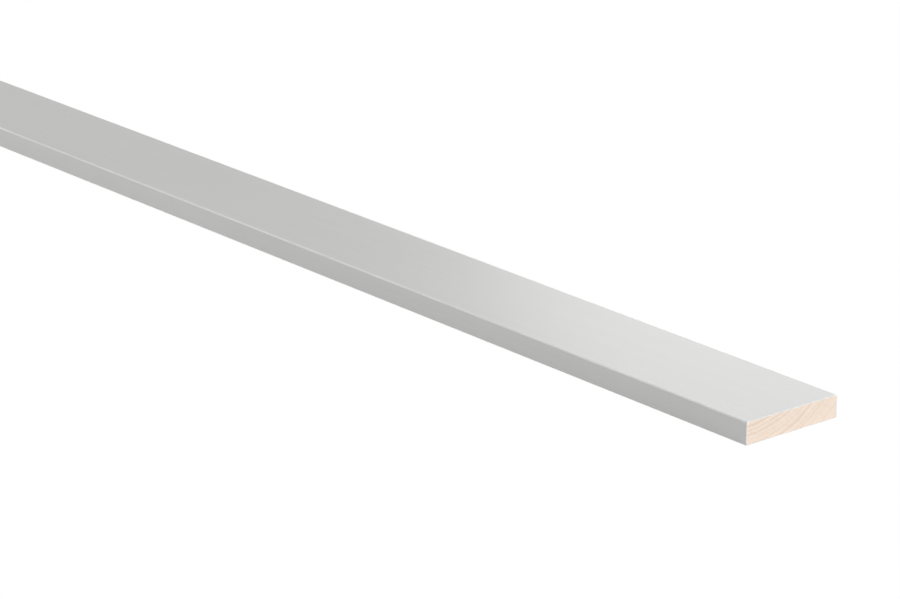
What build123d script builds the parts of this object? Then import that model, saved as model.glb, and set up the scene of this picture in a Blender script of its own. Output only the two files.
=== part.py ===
"""Flat trim strip: one softwood lath with softened long edges, sawn square at both ends."""

import os

from build123d import *

# Driving dimensions, in millimetres
length = 2700.0  # the stock length that the strip is sold in
width = 45.0  # across the face
thickness = 9.0  # from the back to the face
face_edge_radius = 0.6  # rounding of the face's two long edges
back_edge_radius = 0.4  # easing of the back's two long edges

# The strip lies on its back, as it would on a floor. X runs along the grain, Y runs across
# the face, Z rises from the back to the face, and the origin is the middle of the back.
with BuildPart() as trim_strip:
    # The section that the planer leaves: flat on all four sides, softer at the face than at the back
    with BuildSketch(Plane.YZ) as section:
        Rectangle(width, thickness, align=(Align.CENTER, Align.MIN))
        fillet(section.vertices().group_by(Axis.Y)[-1], radius=face_edge_radius)
        fillet(section.vertices().group_by(Axis.Y)[0], radius=back_edge_radius)
    # The run of the strip, from one square saw cut to the other
    extrude(amount=length / 2, both=True)
trim_strip.part.label = "trim_strip"

os.makedirs("parts", exist_ok=True)
export_step(trim_strip.part, "parts/trim_strip.step")
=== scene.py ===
"""Scene of a flat trim strip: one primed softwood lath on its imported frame, in a small white studio."""

import math

import bmesh
import bpy
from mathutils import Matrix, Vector, noise


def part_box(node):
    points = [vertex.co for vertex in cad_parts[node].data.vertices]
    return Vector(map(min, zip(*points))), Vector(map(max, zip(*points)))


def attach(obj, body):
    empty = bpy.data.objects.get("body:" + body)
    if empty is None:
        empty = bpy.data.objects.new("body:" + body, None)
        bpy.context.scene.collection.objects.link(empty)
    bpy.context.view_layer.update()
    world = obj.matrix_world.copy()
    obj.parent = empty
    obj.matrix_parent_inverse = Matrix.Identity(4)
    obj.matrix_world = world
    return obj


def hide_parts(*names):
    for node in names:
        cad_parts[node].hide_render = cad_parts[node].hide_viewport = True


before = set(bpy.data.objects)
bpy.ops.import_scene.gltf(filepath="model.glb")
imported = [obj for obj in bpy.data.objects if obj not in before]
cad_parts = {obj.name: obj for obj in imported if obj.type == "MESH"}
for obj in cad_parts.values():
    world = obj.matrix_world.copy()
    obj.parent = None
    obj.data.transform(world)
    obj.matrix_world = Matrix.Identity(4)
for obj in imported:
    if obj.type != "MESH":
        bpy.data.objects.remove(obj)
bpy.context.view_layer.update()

# The lath
# One length of softwood, planed flat on four sides, with the edges of its face rounded and those of
# its back just eased. It is primed white all round and then sawn square to length, so each end shows
# bare wood with its growth rings inside a thin rim of coat.
FACE_EDGE_RADIUS = 0.0006
FACE_EDGE_STEPS = 8
BACK_EDGE_RADIUS = 0.0004
BACK_EDGE_STEPS = 4
SLICES_ALONG = 108
SLICES_ACROSS = 10
COATED = 0
BARE = 1

low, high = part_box("trim_strip")
size = high - low
middle = (low + high) / 2

bpy.ops.object.select_all(action="DESELECT")
bpy.ops.mesh.primitive_cube_add(size=1.0, location=middle, scale=size)
lath = bpy.context.object
lath.name = "primed_lath"
lath.data.name = "primed_lath"
bpy.ops.object.transform_apply(location=True, rotation=True, scale=True)
bpy.ops.object.material_slot_add()
bpy.ops.object.material_slot_add()
bpy.ops.object.mode_set(mode="EDIT")


def pick_long_edges(wanted):
    """Select the edges that run along the lath and whose middle passes a test."""
    bpy.ops.mesh.select_mode(type="EDGE")
    bpy.ops.mesh.select_all(action="DESELECT")
    shape = bmesh.from_edit_mesh(lath.data)
    for edge in shape.edges:
        one, other = (corner.co for corner in edge.verts)
        edge.select_set(abs(one.x - other.x) > size.x / 2 and wanted((one + other) / 2))
    bmesh.update_edit_mesh(lath.data)


# The planer's cutters round the edges
pick_long_edges(lambda spot: spot.z > middle.z)
bpy.ops.mesh.bevel(offset=FACE_EDGE_RADIUS, segments=FACE_EDGE_STEPS, profile=0.5, affect="EDGES")
pick_long_edges(lambda spot: spot.z < low.z + BACK_EDGE_RADIUS / 2)
bpy.ops.mesh.bevel(offset=BACK_EDGE_RADIUS, segments=BACK_EDGE_STEPS, profile=0.5, affect="EDGES")

# The long faces are cut into short fields
for step in range(1, SLICES_ALONG):
    bpy.ops.mesh.select_all(action="SELECT")
    place = low.x + size.x * step / SLICES_ALONG
    bpy.ops.mesh.bisect(plane_co=(place, 0.0, 0.0), plane_no=(1.0, 0.0, 0.0))
for step in range(1, SLICES_ACROSS):
    bpy.ops.mesh.select_all(action="SELECT")
    place = low.y + size.y * step / SLICES_ACROSS
    bpy.ops.mesh.bisect(plane_co=(0.0, place, 0.0), plane_no=(0.0, 1.0, 0.0))

# The sawn ends have a rim of coat round bare wood
COAT_RIM = 0.00035
END_FACING = 0.5
bpy.ops.mesh.select_mode(type="FACE")
bpy.ops.mesh.select_all(action="DESELECT")
shape = bmesh.from_edit_mesh(lath.data)
for face in shape.faces:
    face.select_set(abs(face.normal.x) > END_FACING)
bmesh.update_edit_mesh(lath.data)
bpy.ops.mesh.inset(thickness=COAT_RIM, depth=0.0)
lath.active_material_index = BARE
bpy.ops.object.material_slot_assign()

# The sawn wood is cut fine enough to carry the marks of the saw's teeth
SAWN_STEP = 0.0003
for reach, start, facing in ((size.y, low.y, (0.0, 1.0, 0.0)), (size.z, low.z, (0.0, 0.0, 1.0))):
    fields = round(reach / SAWN_STEP)
    for step in range(1, fields):
        bpy.ops.mesh.select_all(action="DESELECT")
        bpy.ops.object.material_slot_select()
        spot = Vector(facing) * (start + reach * step / fields)
        bpy.ops.mesh.bisect(plane_co=spot, plane_no=facing)

# The teeth leave shallow arcs in the wood, and the coat breaks a little unevenly round it
TOOTH_MARK = 0.00005
TOOTH_PITCH = 0.0011
TOOTH_SHARE = 0.25
TOOTH_BEAT = 2.7
BLADE_CENTRE = Vector((0.0, 0.070, 0.118))
FIBRE_SHARE = 0.6
FIBRES_PER_METRE = 900.0
RIM_WANDER = 0.00010
BREAKS_PER_METRE = 700.0
OTHER_BREAKS = Vector((9.0, 5.0, 2.0))
shape = bmesh.from_edit_mesh(lath.data)
for corner in shape.verts:
    finishes = {face.material_index for face in corner.link_faces}
    if finishes == {BARE}:
        turn = 2 * math.pi * (corner.co - BLADE_CENTRE).yz.length / TOOTH_PITCH
        wear = 0.5 + TOOTH_SHARE * (math.cos(turn) + math.cos(turn / TOOTH_BEAT))
        wear += FIBRE_SHARE * noise.noise(corner.co * FIBRES_PER_METRE)
        corner.co.x -= math.copysign(TOOTH_MARK * max(wear, 0.0), corner.co.x)
    elif finishes == {COATED, BARE}:
        corner.co.y += RIM_WANDER * noise.noise(corner.co * BREAKS_PER_METRE)
        corner.co.z += RIM_WANDER * noise.noise(corner.co * BREAKS_PER_METRE + OTHER_BREAKS)
bmesh.update_edit_mesh(lath.data)
bpy.ops.object.mode_set(mode="OBJECT")

# The flat faces stay flat up to the roundings, and the corners at the ends stay sharp
SHARP_ANGLE = 30.0
bpy.ops.object.shade_smooth_by_angle(angle=math.radians(SHARP_ANGLE))
lath.modifiers.new("flat_faces", "WEIGHTED_NORMAL").keep_sharp = True
bpy.ops.object.modifier_apply(modifier="flat_faces")

# The map lays the coat out in four rows of a quarter of the length each, with the sawn ends above
ROWS = 4
ROW_HEIGHT = 0.195
GUTTER = 0.006
END_SPAN = 0.5
sheet = lath.data.uv_layers.new(name="OFBake")
lath.data.uv_layers.active = sheet
for face in lath.data.polygons:
    row = min(int((face.center.x - low.x) / size.x * ROWS), ROWS - 1)
    for loop in face.loop_indices:
        spot = lath.data.vertices[lath.data.loops[loop].vertex_index].co
        if abs(face.normal.x) > END_FACING:
            start = GUTTER if face.normal.x > 0 else END_SPAN + GUTTER
            across = start + (spot.y - low.y) / size.y * (END_SPAN - 2 * GUTTER)
            up = ROWS * ROW_HEIGHT + 2 * GUTTER + (spot.z - low.z) / size.y * (END_SPAN - 2 * GUTTER)
        else:
            half_round = spot.z - low.z + (size.y - abs(spot.y) if spot.z > middle.z else abs(spot.y))
            around = half_round / (2 * size.y + 2 * size.z)
            across = GUTTER + ((spot.x - low.x) / size.x * ROWS - row) * (1 - 2 * GUTTER)
            up = row * ROW_HEIGHT + GUTTER
            up += (around if face.center.y < 0 else 1 - around) * (ROW_HEIGHT - GUTTER)
        sheet.data[loop].uv = (across, up)


def lay(tree, kind, feeds=None, **options):
    """Put a node into a tree, set its options, and fill its sockets from values or from other nodes."""
    made = tree.nodes.new(kind)
    for option, value in options.items():
        setattr(made, option, value)
    for socket, feed in (feeds or {}).items():
        if isinstance(feed, bpy.types.NodeSocket):
            tree.links.new(feed, made.inputs[socket])
        else:
            made.inputs[socket].default_value = feed
    return made.outputs


def reckon(tree, operation, *terms):
    """Put a calculation with one to three terms into a tree."""
    return lay(tree, "ShaderNodeMath", dict(enumerate(terms)), operation=operation)[0]


def ease(tree, value, start, stop, first=0.0, last=1.0):
    """Put a smooth step into a tree: first below start, last above stop."""
    feeds = {"Value": value, "From Min": start, "From Max": stop, "To Min": first, "To Max": last}
    return lay(tree, "ShaderNodeMapRange", feeds, interpolation_type="SMOOTHSTEP")[0]


def cloud(tree, place, scale, detail=2.0, stretch=(1.0, 1.0, 1.0)):
    """Put a soft random pattern into a tree, with its scale given as features per metre."""
    spread = lay(tree, "ShaderNodeVectorMath", {0: place, 1: stretch}, operation="MULTIPLY")[0]
    return lay(tree, "ShaderNodeTexNoise", {"Vector": spread, "Scale": scale, "Detail": detail})[0]


def tint(tree, share, under, over, blend="MIX"):
    """Put one colour over another into a tree, by a share."""
    feeds = {0: share, 6: under, 7: over}
    return lay(tree, "ShaderNodeMix", feeds, data_type="RGBA", blend_type=blend)[2]


# The growth rings lie round a pith above the face, and the grain leans a little to the lath's length.
# The rings wander, the years differ in width and strength, and late wood darkens up to a sharp end.
PITH = Vector((0.0, -0.024, 0.054))
GRAIN_LEAN = (0.0, 0.006, 0.011)
RING_WIDTH = 0.0019
RING_WANDER = 0.0022
WANDERS_PER_METRE = 70.0
ALONG_GRAIN = (0.02, 1.0, 1.0)
GROWTH_SWING = 1.3
GROWTH_SCALE = 0.4
FIRST_YEAR = 5.0
FAINTEST_YEAR = 0.25
STRENGTH_LIMITS = (0.1, 0.9)
AUTUMN_START = 0.55
AUTUMN_FULL = 0.92
WINTER_START = 0.93
RAYS_ROUND = 190.0
RAYS_OUTWARD = 220.0
RAY_LIMITS = (0.45, 0.75)
rings = bpy.data.node_groups.new("softwood_growth_rings", "ShaderNodeTree")
rings.interface.new_socket("Position", in_out="INPUT", socket_type="NodeSocketVector")
rings.interface.new_socket("Latewood", in_out="OUTPUT", socket_type="NodeSocketFloat")
rings.interface.new_socket("Rays", in_out="OUTPUT", socket_type="NodeSocketFloat")
place = rings.nodes.new("NodeGroupInput").outputs["Position"]
shift = (0.0, -PITH.y - GRAIN_LEAN[2] * high.x, -PITH.z + GRAIN_LEAN[1] * high.x)
feeds = {"Vector": place, "Location": shift, "Rotation": GRAIN_LEAN}
from_pith = lay(rings, "ShaderNodeMapping", feeds)[0]
flat = lay(rings, "ShaderNodeVectorMath", {0: from_pith, 1: (0.0, 1.0, 1.0)}, operation="MULTIPLY")[0]
radius = lay(rings, "ShaderNodeVectorMath", {0: flat}, operation="LENGTH")["Value"]
wander = cloud(rings, from_pith, WANDERS_PER_METRE, 1.0, ALONG_GRAIN)
radius = reckon(rings, "MULTIPLY_ADD", wander, RING_WANDER, radius)
year = reckon(rings, "DIVIDE", radius, RING_WIDTH)
feeds = {"W": year, "Scale": GROWTH_SCALE, "Detail": 0.0}
growth = lay(rings, "ShaderNodeTexNoise", feeds, noise_dimensions="1D")[0]
year = reckon(rings, "MULTIPLY_ADD", growth, GROWTH_SWING, year)
season = reckon(rings, "FRACT", year)
whole_year = reckon(rings, "ADD", reckon(rings, "FLOOR", year), FIRST_YEAR)
strong = lay(rings, "ShaderNodeTexWhiteNoise", {"W": whole_year}, noise_dimensions="1D")[0]
strong = ease(rings, strong, *STRENGTH_LIMITS, FAINTEST_YEAR, 1.0)
autumn = ease(rings, season, AUTUMN_START, AUTUMN_FULL)
autumn = reckon(rings, "MULTIPLY", autumn, ease(rings, season, WINTER_START, 1.0, 1.0, 0.0))
latewood = reckon(rings, "MULTIPLY", autumn, strong)
legs = lay(rings, "ShaderNodeSeparateXYZ", {"Vector": from_pith})
angle = reckon(rings, "ARCTAN2", legs["Y"], legs["Z"])
angle = reckon(rings, "MULTIPLY", angle, RAYS_ROUND)
spokes = lay(rings, "ShaderNodeCombineXYZ", {"X": angle, "Y": radius})[0]
rays = cloud(rings, spokes, 1.0, 2.0, (1.0, RAYS_OUTWARD, 1.0))
group_out = rings.nodes.new("NodeGroupOutput")
rings.links.new(latewood, group_out.inputs["Latewood"])
rings.links.new(ease(rings, rays, *RAY_LIMITS), group_out.inputs["Rays"])

# Bare softwood as the saw leaves it: pale early wood, darker late wood, open cells and a few resin ducts
EARLY_WOOD = (0.84, 0.72, 0.625, 1.0)
LATE_WOOD = (0.62, 0.45, 0.31, 1.0)
CELLS_PER_METRE = 5200.0
CELL_SHADE_LIMITS = (0.3, 0.6)
CELL_SHARE = 0.14
CELL_DULL_LIMITS = (0.3, 0.7)
CELL_ROUGHNESS = (0.92, 0.74)
PATCHES_PER_METRE = 160.0
PATCH_LIMITS = (0.35, 0.7)
PATCH_SHARE = 0.16
DUCTS_PER_METRE = 620.0
DUCT_LIMITS = (0.05, 0.11)
DUCT_SHARE = 0.35
LATE_SHARE = 0.55
RAY_SHARE = 0.10
LATE_HEIGHT = 0.8
RAY_HEIGHT = 0.2
SAWN_RELIEF = 0.00004
SAWN_GLOSS = 0.3
pine = bpy.data.materials.new("bare_softwood")
pine.use_nodes = True
tree = pine.node_tree
surface = tree.nodes["Principled BSDF"]
place = lay(tree, "ShaderNodeTexCoord")["Object"]
grown = lay(tree, "ShaderNodeGroup", node_tree=rings)
tree.links.new(place, grown["Latewood"].node.inputs["Position"])
cells = cloud(tree, place, CELLS_PER_METRE, 2.0)
patches = cloud(tree, place, PATCHES_PER_METRE, 3.0)
ducts = lay(tree, "ShaderNodeTexVoronoi", {"Vector": place, "Scale": DUCTS_PER_METRE})
duct = ease(tree, ducts["Distance"], *DUCT_LIMITS, 1.0, 0.0)
duct = reckon(tree, "MULTIPLY", duct, grown["Latewood"])
patches = ease(tree, patches, *PATCH_LIMITS)
darker = reckon(tree, "MULTIPLY_ADD", patches, PATCH_SHARE, grown["Latewood"])
darker = reckon(tree, "MULTIPLY_ADD", duct, DUCT_SHARE, reckon(tree, "MULTIPLY", darker, LATE_SHARE))
wood = tint(tree, darker, EARLY_WOOD, LATE_WOOD)
wood = tint(tree, reckon(tree, "MULTIPLY", grown["Rays"], RAY_SHARE), wood, LATE_WOOD)
wood = tint(tree, CELL_SHARE, wood, ease(tree, cells, *CELL_SHADE_LIMITS), "MULTIPLY")
tree.links.new(wood, surface.inputs["Base Color"])
rough = ease(tree, cells, *CELL_DULL_LIMITS, *CELL_ROUGHNESS)
tree.links.new(rough, surface.inputs["Roughness"])
relief = reckon(tree, "MULTIPLY_ADD", grown["Latewood"], LATE_HEIGHT, cells)
relief = reckon(tree, "MULTIPLY_ADD", grown["Rays"], RAY_HEIGHT, relief)
bump = lay(tree, "ShaderNodeBump", {"Height": relief, "Distance": SAWN_RELIEF})[0]
tree.links.new(bump, surface.inputs["Normal"])
surface.inputs["Specular IOR Level"].default_value = SAWN_GLOSS

# White primer, sprayed thin and left satin. The grain and the planer's ripple show through it a little,
# and dust has dried in it. A painted highlight makes the coat whiter along the rounded edges of the face.
# Handling has scuffed it in places, and the saw has chipped it at the ends.
FRESH_COAT = (0.746, 0.746, 0.735, 1.0)
DULL_COAT = (0.727, 0.727, 0.716, 1.0)
# The whitest coat colour is a painted highlight for the rounded edges of the face
PAINTED_HIGHLIGHT_COAT = (0.950, 0.950, 0.938, 1.0)
RUBBED_COAT = (0.640, 0.640, 0.632, 1.0)
CLOUDS_PER_METRE = 24.0
CLOUD_STRETCH = (0.5, 1.0, 1.0)
STREAKS_PER_METRE = 420.0
STREAK_STRETCH = (0.012, 1.0, 1.0)
STREAK_SHARE = 0.6
DULL_LIMITS = (0.6, 1.0)
HIGHLIGHT_FROM_SIDE = (0.0011, 0.0004)
HIGHLIGHT_FROM_FACE = (0.0007, 0.0002)
HIGHLIGHT_BREAKS_PER_METRE = 60.0
HIGHLIGHT_BREAK_STRETCH = (0.2, 1.0, 1.0)
HIGHLIGHT_BREAK_LIMITS = (0.3, 0.7)
FAINTEST_HIGHLIGHT = 0.7
SCUFFS_PER_METRE = 1500.0
SCUFF_STRETCH = (0.04, 1.0, 1.0)
SCUFF_LIMITS = (0.62, 0.80)
SCUFF_SHARE = 0.35
HANDS_PER_METRE = 11.0
HANDLED_LIMITS = (0.50, 0.70)
CHIPS_PER_METRE = 800.0
CHIP_REACH = 0.0022
CHIP_BORDER = (-0.00135, -0.00120)
PEEL_PER_METRE = 640.0
SCUFF_DULLING = 0.4
SATIN_LIMITS = (0.25, 0.85)
SATIN_ROUGHNESS = (0.275, 0.305)
PLANER_PITCH = 0.0017
WAVE_AT_SCALE_ONE = 0.1 * math.pi
NIBS_PER_METRE = 90.0
NIB_SIZE = 0.02
RIPPLE_HEIGHT = 0.10
GRAIN_HEIGHT = 0.40
NIB_HEIGHT = 4.0
CHIP_DEPTH = 6.0
COAT_RELIEF = 0.0000012
primer = bpy.data.materials.new("white_primer_coat")
primer.use_nodes = True
tree = primer.node_tree
surface = tree.nodes["Principled BSDF"]
place = lay(tree, "ShaderNodeTexCoord")["Object"]
legs = lay(tree, "ShaderNodeSeparateXYZ", {"Vector": place})
grown = lay(tree, "ShaderNodeGroup", node_tree=rings)
tree.links.new(place, grown["Latewood"].node.inputs["Position"])
spray = cloud(tree, place, CLOUDS_PER_METRE, 3.0, CLOUD_STRETCH)
streaks = cloud(tree, place, STREAKS_PER_METRE, 2.0, STREAK_STRETCH)
dull = ease(tree, reckon(tree, "MULTIPLY_ADD", streaks, STREAK_SHARE, spray), *DULL_LIMITS)
coat = tint(tree, dull, FRESH_COAT, DULL_COAT)
aside = reckon(tree, "ABSOLUTE", legs["Y"])
# Painted highlight: a whiter band of coat colour along the rounded edges of the face, stronger and fainter
# along the length
out_side = ease(tree, aside, high.y - HIGHLIGHT_FROM_SIDE[0], high.y - HIGHLIGHT_FROM_SIDE[1])
up_face = ease(tree, legs["Z"], high.z - HIGHLIGHT_FROM_FACE[0], high.z - HIGHLIGHT_FROM_FACE[1])
highlight_breaks = cloud(tree, place, HIGHLIGHT_BREAKS_PER_METRE, 3.0, HIGHLIGHT_BREAK_STRETCH)
highlight_breaks = ease(tree, highlight_breaks, *HIGHLIGHT_BREAK_LIMITS, FAINTEST_HIGHLIGHT, 1.0)
painted_highlight = reckon(tree, "MULTIPLY", highlight_breaks, reckon(tree, "MULTIPLY", out_side, up_face))
coat = tint(tree, painted_highlight, coat, PAINTED_HIGHLIGHT_COAT)
scuffs = ease(tree, cloud(tree, place, SCUFFS_PER_METRE, 3.0, SCUFF_STRETCH), *SCUFF_LIMITS)
handled = ease(tree, cloud(tree, place, HANDS_PER_METRE, 2.0), *HANDLED_LIMITS)
scuffs = reckon(tree, "MULTIPLY", scuffs, handled)
coat = tint(tree, reckon(tree, "MULTIPLY", scuffs, SCUFF_SHARE), coat, RUBBED_COAT)
from_end = reckon(tree, "SUBTRACT", high.x, reckon(tree, "ABSOLUTE", legs["X"]))
ragged = reckon(tree, "MULTIPLY_ADD", cloud(tree, place, CHIPS_PER_METRE, 3.0), -CHIP_REACH, from_end)
chips = ease(tree, ragged, *CHIP_BORDER, 1.0, 0.0)
coat = tint(tree, chips, coat, EARLY_WOOD)
tree.links.new(coat, surface.inputs["Base Color"])
peel = cloud(tree, place, PEEL_PER_METRE, 1.5)
dulled = reckon(tree, "MULTIPLY_ADD", scuffs, SCUFF_DULLING, peel)
satin = ease(tree, dulled, *SATIN_LIMITS, *SATIN_ROUGHNESS)
tree.links.new(satin, surface.inputs["Roughness"])
feeds = {"Vector": place, "Scale": WAVE_AT_SCALE_ONE / PLANER_PITCH}
ripple = lay(tree, "ShaderNodeTexWave", feeds)["Fac"]
nibs = lay(tree, "ShaderNodeTexVoronoi", {"Vector": place, "Scale": NIBS_PER_METRE})["Distance"]
nibs = ease(tree, nibs, 0.0, NIB_SIZE, 1.0, 0.0)
relief = reckon(tree, "MULTIPLY_ADD", ripple, RIPPLE_HEIGHT, peel)
relief = reckon(tree, "MULTIPLY_ADD", grown["Latewood"], GRAIN_HEIGHT, relief)
relief = reckon(tree, "MULTIPLY_ADD", nibs, NIB_HEIGHT, relief)
relief = reckon(tree, "MULTIPLY_ADD", chips, -CHIP_DEPTH, relief)
bump = lay(tree, "ShaderNodeBump", {"Height": relief, "Distance": COAT_RELIEF})[0]
tree.links.new(bump, surface.inputs["Normal"])

lath.material_slots[COATED].material = primer
lath.material_slots[BARE].material = pine
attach(lath, "root")
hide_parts("trim_strip")

# The floor
# A wide sheet of matt white paper that the lath lies on. The camera and glossy surfaces see it as white,
# less the soft shadow that the lath keeps on it, and as plain white farther off.
FLOOR_REACH = 80.0
FLOOR_GAP = 0.0001
FLOOR_WHITE = 0.80
WHITENED = 0.86
PAPER_WHITE = 1.10
SHADED_REACH = 0.5
PLAIN_REACH = 1.2
WHITE = (1.0, 1.0, 1.0, 1.0)
bpy.ops.object.select_all(action="DESELECT")
bpy.ops.mesh.primitive_plane_add(size=FLOOR_REACH, location=(middle.x, middle.y, low.z - FLOOR_GAP))
floor = bpy.context.object
floor.name = "paper_floor"
bpy.ops.object.transform_apply(location=True, rotation=True, scale=True)
paper = bpy.data.materials.new("white_paper")
paper.use_nodes = True
tree = paper.node_tree
tree.nodes.remove(tree.nodes["Principled BSDF"])
matt = lay(tree, "ShaderNodeBsdfDiffuse", {"Color": (FLOOR_WHITE, FLOOR_WHITE, FLOOR_WHITE, 1.0)})[0]
white = lay(tree, "ShaderNodeEmission", {"Color": WHITE, "Strength": PAPER_WHITE})[0]
legs = lay(tree, "ShaderNodeSeparateXYZ", {"Vector": lay(tree, "ShaderNodeTexCoord")["Object"]})
beyond = ease(tree, reckon(tree, "ABSOLUTE", legs["X"]), high.x + SHADED_REACH, high.x + PLAIN_REACH)
beside = ease(tree, reckon(tree, "ABSOLUTE", legs["Y"]), high.y + SHADED_REACH, high.y + PLAIN_REACH)
whitened = ease(tree, reckon(tree, "MAXIMUM", beyond, beside), 0.0, 1.0, WHITENED, 1.0)
path = lay(tree, "ShaderNodeLightPath")
seen = reckon(tree, "MAXIMUM", path["Is Camera Ray"], path["Is Glossy Ray"])
seen = reckon(tree, "MULTIPLY", reckon(tree, "MAXIMUM", seen, path["Is Transmission Ray"]), whitened)
sheet_look = lay(tree, "ShaderNodeMixShader", {0: seen, 1: matt, 2: white})[0]
tree.links.new(sheet_look, tree.nodes["Material Output"].inputs["Surface"])
floor.data.materials.append(paper)

# The light
# A white room gives an even glow from all round, and soft panels shape it. The high one's gloss runs along
# the rounded edge, and the rear one's lies on the near part of the face. The others, low in front and
# behind, over the near part and beyond each end, only fill and leave no gloss.
GLOW = 0.12
# Each panel has its place, the spot it faces, its width and height, its watts, and whether it leaves gloss
PANELS = {
    "high_panel": ((-2.40, -0.90, 2.75), (1.10, 0.0, 0.0), (1.50, 1.30), 34.6, True),
    "rear_panel": ((-0.09, 1.47, 0.77), (1.30, 0.0, 0.77), (0.59, 0.97), 2.53, True),
    "front_fill": ((0.55, -1.80, 0.32), (0.95, 0.0, 0.0), (1.60, 0.50), 10.9, False),
    "front_far_fill": ((-1.10, -1.80, 0.30), (-1.00, 0.0, 0.0), (1.20, 0.45), 4.8, False),
    "rear_fill": ((-0.50, 2.20, 0.28), (-0.50, 0.0, 0.0), (2.40, 0.45), 11.8, False),
    "near_fill": ((1.40, 0.30, 0.70), (1.25, 0.0, 0.0), (0.40, 0.40), 1.21, False),
    "near_end_fill": ((3.20, 0.40, 0.40), (high.x, 0.0, 0.0), (1.20, 0.70), 33.0, False),
    "far_end_fill": ((-3.20, 0.40, 0.40), (low.x, 0.0, 0.0), (1.20, 0.70), 29.2, False),
}
room = bpy.data.worlds.new("white_room")
bpy.context.scene.world = room
room.use_nodes = True
tree = room.node_tree
tree.nodes.remove(tree.nodes["Background"])
glow = lay(tree, "ShaderNodeBackground", {"Color": WHITE, "Strength": GLOW})[0]
white = lay(tree, "ShaderNodeBackground", {"Color": WHITE, "Strength": 1.0})[0]
path = lay(tree, "ShaderNodeLightPath")
seen = reckon(tree, "MAXIMUM", path["Is Camera Ray"], path["Is Glossy Ray"])
seen = reckon(tree, "MAXIMUM", seen, path["Is Transmission Ray"])
room_look = lay(tree, "ShaderNodeMixShader", {0: seen, 1: glow, 2: white})[0]
tree.links.new(room_look, tree.nodes["World Output"].inputs["Surface"])
for name, (place, target, panel, power, glossy) in PANELS.items():
    bpy.ops.object.light_add(type="AREA", location=place)
    lamp = bpy.context.object
    lamp.name = name
    lamp.rotation_euler = (Vector(target) - Vector(place)).to_track_quat("-Z", "Y").to_euler()
    lamp.data.shape = "RECTANGLE"
    lamp.data.size, lamp.data.size_y = panel
    lamp.data.energy = power
    lamp.visible_camera = False
    lamp.visible_glossy = glossy

# The camera
# A long lens stands beyond the lath's near end and in front of it. It looks down along the lath and takes
# in half a metre of it.
FOCAL_LENGTH = 139.2
SENSOR_WIDTH = 36.0
FAR_SIGHT = 200.0
FROM_NEAR_END = Vector((0.8227, -0.8286, 0.4422))
TURN = 50.79
DIP = 18.67
near_end = Vector((high.x, middle.y, low.z))
bpy.ops.object.camera_add(location=near_end + FROM_NEAR_END)
camera = bpy.context.object
camera.rotation_euler = (math.radians(90.0 - DIP), 0.0, math.radians(TURN))
camera.data.sensor_fit = "HORIZONTAL"
camera.data.sensor_width = SENSOR_WIDTH
camera.data.lens = FOCAL_LENGTH
camera.data.clip_end = FAR_SIGHT
bpy.context.scene.camera = camera
bpy.context.scene.view_settings.view_transform = "Standard"
